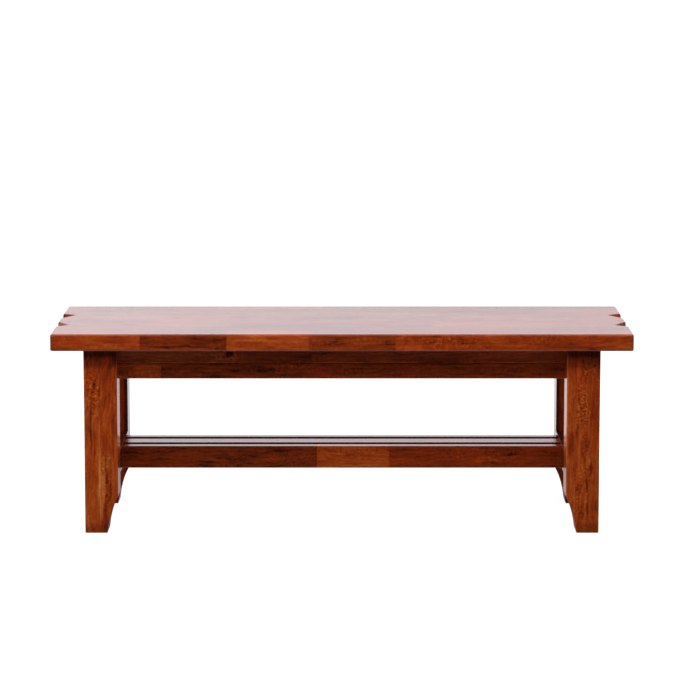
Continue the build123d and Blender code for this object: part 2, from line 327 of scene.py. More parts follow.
# Stains, each from the darkest wood to the lightest, and the tint that the reddest wood takes on
stain_stops = [
    (0.00, paint(50, 14, 4)),
    (0.20, paint(86, 31, 9)),
    (0.42, paint(118, 46, 11)),
    (0.60, paint(140, 65, 21)),
    (0.78, paint(164, 92, 40)),
    (1.00, paint(200, 136, 74)),
]
# The aprons' stain runs lighter and redder at the top, for the painted light of the front apron's upper
# row
apron_stops_with_painted_light = stain_stops[:3] + [
    (0.60, paint(146, 62, 22)),
    (0.80, paint(180, 84, 36)),
    (1.00, paint(214, 112, 56)),
]
bare_stops = [
    (0.00, paint(98, 56, 28)),
    (0.35, paint(138, 90, 50)),
    (0.65, paint(170, 120, 74)),
    (1.00, paint(206, 164, 112)),
]
dowel_stops = [
    (0.00, paint(150, 112, 70)),
    (0.50, paint(198, 160, 108)),
    (1.00, paint(228, 200, 152)),
]
red_stain = paint(255, 206, 195)

# Staves. A stave is one length of timber: where it starts, how light it is and how red. One that
# starts at the piece's end, or before it, is the first of its row.
stave_tones = (0.3, 0.62)
stave_reds = (0.1, 0.8)
most_staves = 16
finger_pitch = 0.0064
finger_length = 0.0055
seam_half_width = 0.0006
joint_half_width = 0.0005

# The log and its knots. Each pair that bends the log does so across the piece and into it, and
# the pair for marks shifts them along the grain and across it.
log_lean = (0.16, 0.05)
log_drift = (0.05, 0.03)
log_sway = (0.016, 0.012)
heart_spread = 0.16
heart_depth = 0.07
least_heart_depth = 0.012
ring_width = 0.0085
ring_unevenness = 1.1
knot_flatness = 0.8
knot_sway = 0.02
knot_rings = 5.5
mark_sway = (0.012, 0.006)
curl_by_streaks = 0.012
curl_in_patches = 0.6

# How fine each part of the figure is, in waves to the metre along the grain and across it
drift_waves = (3.1, 4)
sway_waves = (24, 30)
ring_waves = (9, 70)
streak_waves = (17, 130)
broad_waves = (5, 30)
patch_waves = (9, 22)
curl_waves = (235, 120)
fleck_waves = (120, 210)
pore_waves = (85, 1300)
wear_waves = (6, 14)

# Where each part of the figure starts and where it is full
late_wood_rise = (0.4, 0.9)
late_wood_end = (1, 0.93)
knot_core = (1.15, 0.55)
knot_bend = (4.2, 0.2)
mark_edge = (1.5, 0.2)
vein_streaks = (-0.07, -0.2)
vein_bands = (0.12, -0.1)
patch_edge = (0.5, 0.7)
pore_edge = (0.62, 0.72)
arris_edge = (0.0034, 0.0012)

# How squarely a face must look some way before it counts, and where the seat's left end starts
end_facing = (0.72, 0.95)
front_facing = (0.5, 0.9)
inner_facing = (0.3, 0.9)
cut_facing = (0.3, 0.42)
arris_facing = (0.08, 0.25)
left_end = (0.2, -0.2)

# How much each part lightens or darkens the wood, as a share of its stain's range
streak_show = 0.62
broad_show = 0.42
curl_show = 0.95
fleck_show = 0.3
late_wood_show = 0.07
vein_show = 0.16
pore_show = 0.04
end_grain_show = 0.12
glue_line_show = 0.1
knot_show = 0.5
band_redness = 0.7

# Lacquer: its roughness, what each part of the wood adds to it, and the relief under it
lacquer_roughness = 0.13
wear_roughness = 0.1
pore_roughness = 0.1
end_grain_roughness = 0.12
late_wood_roughness = 0.03
inside_roughness = 0.09
relief = {"Strength": 0.18, "Distance": 0.0006}
streak_relief = 0.25
late_wood_relief = -0.2
pore_relief = -0.5
fleck_relief = 0.2


def random_staves(chances, start, end, shortest, longest):
    """Staves of uneven length and tone from one end of a piece to the other."""
    staves = []
    place = start
    while place < end:
        staves.append((place, chances.uniform(*stave_tones), chances.uniform(*stave_reds)))
        place += chances.uniform(shortest, longest)
        if end - place < shortest / 2:
            break
    return staves


def thin_line(value, place, half_width):
    """1 on a thin line where the value crosses a place."""
    return abs(value - place).ease(half_width, half_width / 3)


class Timber(Finish):
    """Timber cut as it is inside one solid log, with its grain along one axis.

    Each method reads what those above it found, so none is called before them.
    """

    def __init__(self, node, grain, across, box):
        super().__init__(f"{node}_wood")
        self.grain = grain
        self.low, self.high = box
        place = self.node("ShaderNodeTexCoord", output="Object")
        facing = self.node("ShaderNodeTexCoord", output="Normal")
        self.axes = dict(zip("XYZ", place.parts()))
        self.normals = dict(zip("XYZ", facing.parts()))
        into = next(axis for axis in "XYZ" if axis not in (grain, across))
        self.straight = tuple(self.axes[axis] for axis in (grain, across, into))

    def stave_values(self, row):
        """Each stave's lightness, redness and own number, as steps along the piece."""
        end = "XYZ".index(self.grain)
        low, length = self.low[end], self.high[end] - self.low[end]
        stops = [
            (max(0, (start - low) / length), (tone, red, index / most_staves))
            for index, (start, tone, red) in enumerate(row)
        ]
        return self.ramp((self.cut - low) / length, stops, "CONSTANT")

    def lay_staves(self, rows, seams, seed):
        """Finds the stave that a place is in, and gives how light and how red it is."""
        along, side, _ = self.straight
        self.cut = along
        if self.grain == "X":
            fingers = abs((self.axes["Y"] / finger_pitch) % 1 - 0.5) * (finger_length * 2)
            self.cut = along + fingers
        values = self.stave_values(rows[0])
        self.row_number = 0
        for seam, row in zip(seams, rows[1:]):
            beyond = side.above(seam)
            values = self.blend(beyond, values, self.stave_values(row))
            self.row_number = beyond + self.row_number
        tone, red, number = values.parts()
        own = self.chance(self.point(number * most_staves + seed, self.row_number, wood_seed))
        self.own = own.parts()
        return tone, red

    def glue_lines(self, rows, seams):
        """1 on the thin lines along the seams and where staves meet end to end."""
        lines = sum(thin_line(self.straight[1], seam, seam_half_width) for seam in seams)
        for index, row in enumerate(rows):
            in_row = 1 - abs(self.row_number - index).kept() if len(rows) > 1 else 1
            for start, _, _ in row[1:]:
                lines = thin_line(self.cut, start, joint_half_width) * in_row + lines
        return lines

    def stretched(self, place, waves, shifts=(0, 0, 0)):
        """A place for noise that has so many waves to the metre along the grain and across it.

        The shifts take each stave to a part of the noise that its neighbours don't have.
        """
        along, side, depth = place
        along_waves, cross_waves = waves
        parts = (along * along_waves, side * cross_waves, depth * cross_waves)
        return self.point(*(part + shift for part, shift in zip(parts, shifts)))

    def lay_in_log(self, seed):
        """The rings about the log's heart, which wanders outside the piece or near it."""
        own_a, own_b, own_c = self.own
        along, side, depth = self.straight
        drift_place = self.stretched(self.straight, drift_waves, (own_a * 40, seed, own_b * 9))
        drift = self.noise(drift_place) - 0.5
        sway_place = self.stretched(self.straight, sway_waves, (own_b * 30, 0, own_c * 7))
        self.sway = self.noise(sway_place) - 0.5
        bends = zip((side, depth), (own_c, own_a), log_lean, log_drift, log_sway)
        bent_side, bent_depth = (
            straight + along * (own - 0.5) * lean + drift * drifted + self.sway * swayed
            for straight, own, lean, drifted, swayed in bends
        )
        self.bent = (along, bent_side, bent_depth)
        from_heart = bent_side + (own_b - 0.5) * heart_spread
        below_heart = bent_depth + own_c * heart_depth + least_heart_depth
        radius = (from_heart * from_heart + below_heart * below_heart) ** 0.5
        return radius / ring_width + own_a * 10

    def grow_knots(self, rings, knots):
        """The rings, bent round the knots, and the knots' own dark cores."""
        along, side, _ = self.straight
        cores = 0
        for knot_along, knot_side, knot_radius in knots:
            reach = ((along - knot_along) * knot_flatness) ** 2 + (side - knot_side) ** 2
            reach = (reach ** 0.5 + self.sway * knot_sway) / knot_radius
            cores = reach.ease(*knot_core) + cores
            rings = rings + reach.ease(*knot_bend, 0, knot_rings)
        return rings, cores

    def late_wood(self, rings):
        """The dark part of each ring, which rises slowly and ends at once."""
        unevenness = self.noise(self.stretched(self.straight, ring_waves), detail=3)
        ring_place = (rings + unevenness * ring_unevenness) % 1
        return ring_place.ease(*late_wood_rise) * ring_place.ease(*late_wood_end)

    def spots(self, marks, height_axis):
        """How much the marks lighten, gild and curl the wood at a place."""
        along = self.straight[0] + self.sway * mark_sway[0]
        level = self.axes[height_axis] + self.sway * mark_sway[1]
        totals = [0, 0, 0]
        for middle, height, half_length, half_height, *strengths in marks:
            out = ((along - middle) / half_length) ** 2 + ((level - height) / half_height) ** 2
            within = out.ease(*mark_edge)
            for index, strength in enumerate(strengths):
                if strength:
                    totals[index] = within * strength + totals[index]
        return totals

    def draw_figure(self, curled):
        """Streaks, broad bands, flecks and pores along the grain, and curl across it in patches."""
        own_a, own_b, own_c = self.own
        along, side, depth = self.straight
        streak_place = self.stretched(self.bent, streak_waves, (own_a * 20, 0, own_b * 40))
        self.streak = self.noise(streak_place, detail=4, roughness=0.62) - 0.5
        broad_place = self.stretched(self.bent, broad_waves, (own_b * 20, 0, own_a * 40))
        self.broad = self.noise(broad_place) - 0.5
        self.vein = self.streak.ease(*vein_streaks) * self.broad.ease(*vein_bands)
        patch_place = self.stretched(self.straight, patch_waves, (own_c * 30, 0, own_a * 30))
        patch = self.noise(patch_place, detail=1).ease(*patch_edge)
        wavy = (along + self.streak * curl_by_streaks, side, depth)
        curl_noise = self.noise(self.stretched(wavy, curl_waves, (0, own_b * 9, 0)))
        self.curl = (curl_noise - 0.5) * (patch * curl_in_patches + curled)
        fleck_place = self.stretched(self.straight, fleck_waves, (0, 0, own_c * 9))
        self.fleck = self.noise(fleck_place, detail=3, roughness=0.6) - 0.5
        pore_noise = self.noise(self.stretched(self.straight, pore_waves), detail=1)
        self.pores = pore_noise.ease(*pore_edge)

    def arrises(self):
        """1 on the piece's arrises, where two of its faces are near."""
        first, second, third = (
            (most - least) / 2 - abs(self.axes[axis] - (least + most) / 2)
            for axis, least, most in zip("XYZ", self.low, self.high)
        )
        second_nearest = first.least(second).most(first.most(second).least(third))
        return second_nearest.ease(*arris_edge)


def dress_wood(node, grain, across, rows, seams=(), seed=0, box=None, stops=stain_stops,
               knots=(), marks=(), marks_on=None, front_marks=(), painted_front_shade=0.0, painted_notch_light=0.0,
               arris_wear_and_highlight=0.06, dull=0.0, dull_arrises=0.0, dull_inside=0):
    """Dresses a CAD node in stained and lacquered timber.

    The grain runs along one axis. Rows of staves lie side by side across another, parted by
    seams. Each knot is a place along the grain, a place across it and a radius. Each mark is a
    soft spot: its place along the grain and on the marks_on axis, a half size each way, and how
    much it lightens, gilds and curls the wood. Front marks change only the faces that look to
    the front: on the front legs they are the seat's painted shade. The front shade darkens
    those faces as painted shade. Painted notch light lightens the notch walls that look left
    and to the front as a painted highlight, and darkens them as painted shade below 0. The
    arrises are lightened, partly as wear and partly as a painted highlight. Three values dull
    the lacquer: all over, on the rounded arrises that run from front to back, and on a leg's
    inner side, which looks right for 1 and left for -1.
    """
    timber = Timber(node, grain, across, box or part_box(node))
    tone, red = timber.lay_staves(rows, seams, seed)
    rings, knot_cores = timber.grow_knots(timber.lay_in_log(seed), knots)
    late_wood = timber.late_wood(rings)
    height_axis = marks_on or across
    lighter, golden, curled = timber.spots(marks, height_axis)
    timber.draw_figure(curled)
    streak, broad, pores, normals = timber.streak, timber.broad, timber.pores, timber.normals
    end_grain = abs(normals[grain]).ease(*end_facing)

    lightness = tone + streak * streak_show + broad * broad_show + timber.curl * curl_show
    lightness = lightness + timber.fleck * fleck_show + lighter - late_wood * late_wood_show
    lightness = lightness - timber.vein * vein_show - pores * pore_show
    # Arrises lighten, partly as wear and partly as a painted highlight
    lightness = lightness - end_grain * end_grain_show + timber.arrises() * arris_wear_and_highlight
    lightness = lightness - timber.glue_lines(rows, seams) * glue_line_show - knot_cores * knot_show
    # Painted shade on the faces that look to the front: the seat's shadow on the front legs, and the
    # dark gaps of the shelf
    if painted_front_shade or front_marks:
        on_front = timber.spots(front_marks, height_axis)[0] - painted_front_shade
        lightness = lightness + (-normals["Y"]).ease(*front_facing) * on_front
    # Painted light on the notch walls at the seat's left end, as if lit from the left, and painted
    # shade where it is below 0
    if painted_notch_light:
        sawn = (normals["X"] * normals["Y"]).ease(*cut_facing)
        lightness = lightness + sawn * timber.axes["X"].ease(*left_end) * painted_notch_light
    stained = timber.ramp(lightness.kept(), stops)
    redness = (red + broad * band_redness - golden).kept()
    coloured = timber.blend(redness, stained, (*red_stain, 1), "MULTIPLY")

    wear = timber.noise(timber.stretched(timber.straight, wear_waves), detail=3)
    roughness = lacquer_roughness + dull + wear * wear_roughness + pores * pore_roughness
    roughness = roughness + end_grain * end_grain_roughness + late_wood * late_wood_roughness
    if dull_arrises:
        slanting = abs(normals["X"] * normals["Z"]).ease(*arris_facing)
        roughness = roughness + slanting * dull_arrises
    if dull_inside:
        inner = (normals["X"] * dull_inside).ease(*inner_facing)
        roughness = roughness + inner * inside_roughness
    height = streak * streak_relief + late_wood * late_wood_relief
    height = height + pores * pore_relief + timber.fleck * fleck_relief
    normal = timber.node("ShaderNodeBump", {}, {**relief, "Height": height})
    inputs = {"Base Color": coloured, "Roughness": roughness, "Normal": normal, "IOR": 1.5}
    dress(node, timber.end(timber.node("ShaderNodeBsdfPrincipled", {}, inputs)))


def dress_seat():
    """Eight boards, glued edge to edge, each of staves joined end to end."""
    front_row = [
        (-0.652, 0.46, 0.5),
        (-0.4505, 0.33, 0.5),
        (-0.2585, 0.55, 0.5),
        (-0.075, 0.39, 0.4),
        (0.119, 0.48, 0.65),
    ]
    front_edge_marks = [
        (-0.353, 0.4302, 0.085, 0.0018, -0.1, 0, 0),
        (-0.36, 0.4252, 0.085, 0.0026, 0.1, 0.1, 0),
        (-0.31, 0.446, 0.05, 0.012, -0.08, 0, 0),
        (-0.52, 0.431, 0.05, 0.006, 0.05, 0.3, 0.4),
        (-0.10, 0.437, 0.022, 0.008, -0.02, 0, 0.3),
        (-0.05, 0.435, 0.03, 0.009, 0.02, 0, 0.3),
        (0.03, 0.442, 0.09, 0.01, 0.03, 0.1, 0.3),
        (0.20, 0.444, 0.07, 0.008, -0.04, 0, 0.4),
        (0.49, 0.428, 0.06, 0.006, -0.1, 0.1, 0),
        (0.645, 0.436, 0.04, 0.03, 0.13, 0.1, 0),
        (-0.652, 0.436, 0.012, 0.03, -0.1, 0.1, 0),
    ]
    # By the board's number, painted light on its notch walls at the seat's left end, and painted shade
    # where below 0
    painted_notch_light = {3: 0.4, 4: 0.5, 6: -0.12}
    seat_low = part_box("seat_board_1")[0]
    seat_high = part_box(f"seat_board_{seat_board_count}")[1]
    chances = random.Random(wood_seed)
    for number in range(1, seat_board_count + 1):
        first = number == 1
        row = front_row if first else random_staves(chances, seat_low[0], seat_high[0], *seat_staves)
        dress_wood(f"seat_board_{number}", "X", "Y", [row], seed=number, box=(seat_low, seat_high),
                   marks=front_edge_marks if first else (), marks_on="Z",
                   painted_notch_light=painted_notch_light.get(number, 0), arris_wear_and_highlight=0.0)


def dress_legs():
    """Legs glued up from two or three uprights, parted by the seams at these places."""
    uprights = {
        "front_left_leg": ([-0.5435], [0.575, 0.525]),
        "front_right_leg": ([0.5262, 0.5535], [0.59, 0.61, 0.54]),
        "rear_left_leg": ([-0.5415], [0.42, 0.4]),
        "rear_right_leg": ([0.529, 0.554], [0.4, 0.42, 0.48]),
    }
    marks = {
        "front_left_leg": [
            (0.32, -0.563, 0.055, 0.016, -0.03, -0.2, 0.95),
            (0.24, -0.5645, 0.06, 0.0022, -0.3, 0, 0),
            (0.21, -0.5575, 0.05, 0.002, -0.22, 0, 0),
            (0.14, -0.563, 0.07, 0.011, 0, -0.3, 0),
            (0.105, -0.5415, 0.1, 0.008, 0.2, 0.45, 0),
            (0.165, -0.527, 0.02, 0.012, 0.08, 0.5, 0.5),
            (0.1, -0.527, 0.04, 0.009, -0.12, 0, 1.2),
            (0.03, -0.534, 0.04, 0.006, -0.2, 0, 0),
            (0.335, -0.528, 0.05, 0.014, -0.1, 0, 0.3),
            (0.24, -0.515, 0.07, 0.004, -0.12, 0, 0),
        ],
        "front_right_leg": [
            (0.36, 0.534, 0.07, 0.009, 0.07, -0.3, 0),
            (0.367, 0.547, 0.018, 0.008, 0, 0, 1.2),
            (0.27, 0.569, 0.085, 0.01, -0.08, -0.4, 0),
            (0.285, 0.543, 0.045, 0.017, -0.04, 0.1, 1.0),
            (0.195, 0.546, 0.035, 0.01, -0.12, 0, 0.8),
            (0.11, 0.5525, 0.016, 0.0025, -0.38, 0, 0),
            (0.053, 0.553, 0.018, 0.0025, -0.28, 0, 0),
            (0.151, 0.562, 0.014, 0.004, -0.2, -0.3, 0),
            (0.17, 0.5545, 0.02, 0.005, 0.1, 0.2, 0.5),
            (0.2, 0.514, 0.035, 0.008, -0.14, 0, 0),
        ],
        # On the rear legs: painted shade along the inner edges and painted light a little further out
        "rear_left_leg": [
            (0.25, -0.508, 0.3, 0.0065, -0.4, 0, 0),
            (0.3, -0.5255, 0.2, 0.006, 0.16, -0.1, 0),
        ],
        "rear_right_leg": [
            (0.25, 0.507, 0.3, 0.005, -0.3, 0, 0),
            (0.3, 0.519, 0.2, 0.005, 0.16, -0.1, 0),
        ],
    }
    for number, (name, (seams, tones)) in enumerate(uprights.items()):
        rows = [[(0, tone, leg_reds[index % 2])] for index, tone in enumerate(tones)]
        low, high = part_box(name)
        middle = (low[0] + high[0]) / 2
        foot = (low[2], middle, 0.022, leg_mark_reach, -0.14, 0.2, 0)
        # Painted shade of the seat on the front legs' front faces, just under it
        painted_seat_shade = [
            (high[2] - shade_drop, middle, 0.018, leg_mark_reach, -0.2, 0, 0),
            (high[2] - shade_drop, middle, 0.05, leg_mark_reach, -0.13, 0, 0),
        ]
        in_front = name.startswith("front")
        inner_side = 1 if "left" in name else -1
        dress_wood(name, "Z", "X", rows, seams, seed=grain_seeds["legs"] + number,
                   marks=marks[name] + [foot], front_marks=painted_seat_shade if in_front else (),
                   arris_wear_and_highlight=0.12, dull_inside=inner_side if in_front else 0)


def dress_inside():
    """Corner blocks and batten of plain wood under a thin wipe of stain, and bare dowels."""
    inner_rows = [[(-1, 0.55, 0.15)]]
    dowel_rows = [[(-1, 0.5, 0)]]
    for number, name in enumerate(inner_pieces):
        grain = "Y" if name == "centre_batten" else "Z"
        dress_wood(name, grain, "X", inner_rows, seed=grain_seeds["inside"] + number,
                   stops=bare_stops, dull=0.25)
    for number, (name, grain, across) in enumerate(dowel_nodes):
        dress_wood(name, grain, across, dowel_rows, seed=grain_seeds["dowels"] + number,
                   stops=dowel_stops, dull=0.4)


def dress_aprons(chances):
    """The four rails under the seat. The long ones are glued up from two rows of staves."""
    # The upper row's tones, far lighter than the lower row's, are painted light against the seat's
    # shadow on it
    front_rows = [
        [(-0.505, 0.4, 0.3), (-0.4065, 0.2, 0.3), (-0.15, 0.25, 0.4), (0.2, 0.23, 0.4)],
        [(-0.505, 0.8, 0.3), (-0.24, 0.66, 0.5), (-0.07, 0.76, 0.6), (0.17, 0.76, 0.6)],
    ]
    front_knots = [(-0.252, 0.4065, 0.009)]
    # The marks along the top, about 0.413 to 0.415 high, lighten and redden it as painted light against
    # the seat's shadow; the last two, either side of the seam, are painted light and shade that even
    # out the shadow's fall. The others are figure round the knot and curl.
    front_marks = [
        (-0.252, 0.402, 0.04, 0.013, 0.12, -0.2, 0.9),
        (-0.11, 0.385, 0.05, 0.012, 0, -0.2, 0.6),
        (-0.02, 0.37, 0.08, 0.012, 0.05, -0.2, 0.5),
        (-0.4, 0.413, 0.13, 0.022, 0.16, -0.3, 0),
        (-0.16, 0.414, 0.12, 0.01, 0.02, -0.3, 0),
        (0.05, 0.415, 0.09, 0.016, 0.06, -0.2, 0.2),
        (0.21, 0.415, 0.07, 0.014, 0.12, -0.2, 0),
        (0.21, 0.39, 0.07, 0.009, -0.12, 0, 0.3),
        (0.38, 0.413, 0.11, 0.02, 0.12, -0.2, 0.3),
        (0.3, 0.372, 0.14, 0.01, 0.04, 0, 0.4),
        (0, 0.379, 0.9, 0.0045, 0.14, 0, 0),
        (0, 0.39, 0.9, 0.005, -0.08, 0, 0),
    ]
    low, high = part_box("front_apron")
    rear_rows = [random_staves(chances, low[0], high[0], *apron_staves) for _ in front_rows]
    aprons = {
        "front_apron": (front_rows, front_knots, front_marks),
        "rear_apron": (rear_rows, (), ()),
    }
    for name, (rows, knots, marks) in aprons.items():
        dress_wood(name, "X", "Z", rows, [(low[2] + high[2]) / 2], knots=knots, marks=marks,
                   seed=grain_seeds["long_aprons"], stops=apron_stops_with_painted_light)
    for number, name in enumerate(("left_apron", "right_apron")):
        rows = [[(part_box(name)[0][1], chances.uniform(*end_apron_tones), 0.4)]]
        dress_wood(name, "Y", "Z", rows, seed=grain_seeds["end_aprons"] + number)


def dress_shelf(chances):
    """The dark side rails, and the shelf's rails and slat that run between them."""
    front_row = [(-0.505, 0.26, 0.4), (-0.057, 0.53, 0.4), (0.109, 0.34, 0.6)]
    # The side rails' near black tone is painted shade, for the shade in the corners behind the front
    # legs
    for number, name in enumerate(("left_side_rail", "right_side_rail")):
        rows = [[(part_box(name)[0][1], 0.05, 0.6)]]
        dress_wood(name, "Y", "Z", rows, seed=grain_seeds["side_rails"] + number,
                   dull_arrises=0.7)
    for number, name in enumerate(("front_shelf_rail", "middle_shelf_slat", "rear_shelf_rail")):
        low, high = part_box(name)
        row = random_staves(chances, low[0], high[0], *shelf_staves) if number else front_row
        # The slat and the rear rail carry painted shade on their front faces, where the shelf's gaps
        # are dark
        dress_wood(name, "X", "Z", [row], seed=grain_seeds["shelf"] + number,
                   painted_front_shade=0.65 if number else 0.0)


class Rule(Nodes):
    """A geometry tree that makes one thing and sets it on every seat, by named sizes."""

    def __init__(self, name, sizes):
        super().__init__(bpy.data.node_groups.new(name, "GeometryNodeTree"))
        new_socket = self.tree.interface.new_socket
        new_socket("Result", in_out="OUTPUT", socket_type="NodeSocketGeometry")
        new_socket("Seats", in_out="INPUT", socket_type="NodeSocketGeometry")
        for size in sizes:
            new_socket(size, in_out="INPUT", socket_type="NodeSocketFloat")
        sockets = self.tree.nodes.new("NodeGroupInput").outputs
        self.sizes = {socket.name: Wire(self, socket) for socket in sockets if socket.name}

    def turned(self, profile, sides, steps, shape):
        """A closed form turned about Z, from a profile of shares, radii and heights.

        The shape changes the radius, given the share of a turn, the radius and the height.
        """
        counts = {"Size X": 1, "Size Y": 1, "Vertices X": sides + 1, "Vertices Y": steps + 1}
        sheet = self.node("GeometryNodeMeshGrid", {}, counts)
        turn, share, _ = self.node("GeometryNodeInputPosition").parts()
        share = share + 0.5
        radius = self.follow(share, [(place, out) for place, out, _ in profile])
        height = self.follow(share, [(place, level) for place, _, level in profile])
        radius = shape(turn, radius, height)
        angle = turn * tau
        around = self.point(angle.cosine() * radius, angle.sine() * radius, height)
        wrapped = self.node("GeometryNodeSetPosition", {}, {"Geometry": sheet, "Position": around})
        welded = {"Geometry": wrapped, "Distance": weld_distance}
        return self.node("GeometryNodeMergeByDistance", {}, welded)

    def set_on_seats(self, shape, material):
        """Copies of the shape, one on each seat and square to it, as one dressed mesh."""
        facing = self.node("GeometryNodeInputNamedAttribute", {"data_type": "FLOAT_VECTOR"}, ["facing"])
        turn = self.node("FunctionNodeAlignRotationToVector", {"axis": "Z"}, {"Vector": facing})
        copies = {"Points": self.sizes["Seats"], "Instance": shape, "Rotation": turn}
        placed = self.node("GeometryNodeInstanceOnPoints", {}, copies)
        solid = self.node("GeometryNodeRealizeInstances", {}, [placed])
        dressed = self.node("GeometryNodeSetMaterial", {}, {"Geometry": solid, "Material": material})
        self.node("NodeGroupOutput", {}, [dressed])


def bolt_shape(rule):
    """A bolt threaded from end to end, its ends chamfered."""
    radius, depth, reach, pitch = (rule.sizes[size] for size in ("Radius", "Depth", "Reach", "Pitch"))
    profile = [
        (0, 0, -depth),
        (0.004, radius * 0.8, -depth),
        (0.012, radius, -depth + radius * 0.2),
        (0.988, radius, reach - radius * 0.2),
        (0.996, radius * 0.8, reach),
        (1, 0, reach),
    ]

    def thread(turn, out, height):
        ridge = abs((height / pitch - turn) % 1 - 0.5) * 2
        return out - ridge * pitch * 0.5 * (out / radius).ease(0.7, 1)

    return rule.turned(profile, sides=20, steps=250, shape=thread)


def ring_shape(rule):
    """A washer, or a nut where it has flats, with its outer corners chamfered."""
    sizes = ("Bore", "Radius", "Foot", "Height", "Chamfer", "Flats")
    bore, radius, foot, height, chamfer, flats = (rule.sizes[size] for size in sizes)
    profile = [
        (0, bore, foot),
        (0.2, radius - chamfer, foot),
        (0.3, radius, foot + chamfer / 2),
        (0.6, radius, foot + height - chamfer / 2),
        (0.7, radius - chamfer, foot + height),
        (0.9, bore, foot + height),
        (1, bore, foot),
    ]

    def flatten(turn, out, _):
        lean = ((turn * nut_sides + 3.5) % 1 - 0.5) * (tau / nut_sides)
        return out.least(flats / 2 / lean.cosine())

    return rule.turned(profile, sides=36, steps=10, shape=flatten)


def screw_shape(rule):
    """A wood screw: a pointed thread under a rounded head with a cross recess."""
    sizes = ("Radius", "Length", "Head radius", "Head height", "Pitch")
    radius, length, head_radius, head_height, pitch = (rule.sizes[size] for size in sizes)
    profile = [
        (0, 0, -length),
        (0.1, radius, -length + radius * 2),
        (0.6, radius, length * -0.4),
        (0.88, radius, 0),
        (0.9, head_radius, 0),
        (0.92, head_radius, head_height * 0.4),
        (0.94, head_radius * 0.92, head_height * 0.68),
        (0.96, head_radius * 0.74, head_height * 0.88),
        (0.98, head_radius * 0.4, head_height),
        (1, 0, head_height),
    ]

    def thread(turn, out, height):
        ridge = abs((height / pitch - turn) % 1 - 0.5) * 2
        cut = height.ease(length * -0.36, length * -0.42) * (out / radius).ease(0.2, 1)
        return out - ridge * radius * 0.28 * cut

    turned = rule.turned(profile, sides=16, steps=150, shape=thread)
    difference = {"operation": "DIFFERENCE", "solver": "EXACT"}
    span, width, depth = radius * 2.2, radius * 0.55, head_height * 0.6
    for long, short in ((span, width), (width, span)):
        slot = rule.node("GeometryNodeMeshCube", {}, [rule.point(long, short, depth * 2)])
        raised = {"Geometry": slot, "Translation": rule.point(0, 0, head_height)}
        cutter = rule.node("GeometryNodeTransform", {}, raised)
        cut = {"Mesh 1": turned, "Mesh 2": cutter}
        turned = rule.node("GeometryNodeMeshBoolean", difference, cut)
    return turned


def make_hardware(node, seats, sizes, shape, material):
    """Turns the hardware of a CAD node: one piece on each seat, which is a place and a facing."""
    name = f"{node}_turned"
    mesh = bpy.data.meshes.new(name)
    mesh.from_pydata([place for place, _ in seats], [], [])
    facing = mesh.attributes.new("facing", "FLOAT_VECTOR", "POINT")
    for index, (_, direction) in enumerate(seats):
        facing.data[index].vector = direction
    piece = bpy.data.objects.new(name, mesh)
    bpy.context.scene.collection.objects.link(piece)
    rule = Rule(f"{node}_rule", sizes)
    rule.set_on_seats(shape(rule), material)
    modifier = piece.modifiers.new("rule", "NODES")
    modifier.node_group = rule.tree
    for socket in rule.tree.interface.items_tree:
        if socket.name in sizes:
            modifier[socket.identifier] = sizes[socket.name]
    evaluated = piece.evaluated_get(bpy.context.evaluated_depsgraph_get())
    result = bpy.data.meshes.new_from_object(evaluated)
    piece.modifiers.clear()
    piece.data = result
    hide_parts(node)
    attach(piece, "root")


def zinc_plate():
    """Bright zinc plate, a little cloudy, with a faint yellow cast in places."""
    zinc = Finish("zinc_plate")
    place = zinc.node("ShaderNodeTexCoord", output="Object")
    cloud = zinc.noise(place, detail=3, scale=160)
    grain = zinc.noise(place, detail=2, scale=1500)
    bump = {"Strength": 0.15, "Distance": 0.0001, "Height": grain}
    inputs = {
        "Base Color": zinc.blend(cloud.ease(0.35, 0.65), (0.5, 0.5, 0.49, 1), (0.7, 0.68, 0.6, 1)),
        "Metallic": 1,
        "Roughness": cloud * 0.2 + grain * 0.1 + 0.18,
        "Normal": zinc.node("ShaderNodeBump", {}, bump),
    }
    return zinc.end(zinc.node("ShaderNodeBsdfPrincipled", {}, inputs))


def corner_pairs():
    """The four corners of the bench, each as the signs of its X and Y."""
    return [(end, side) for end in (-1, 1) for side in (-1, 1)]


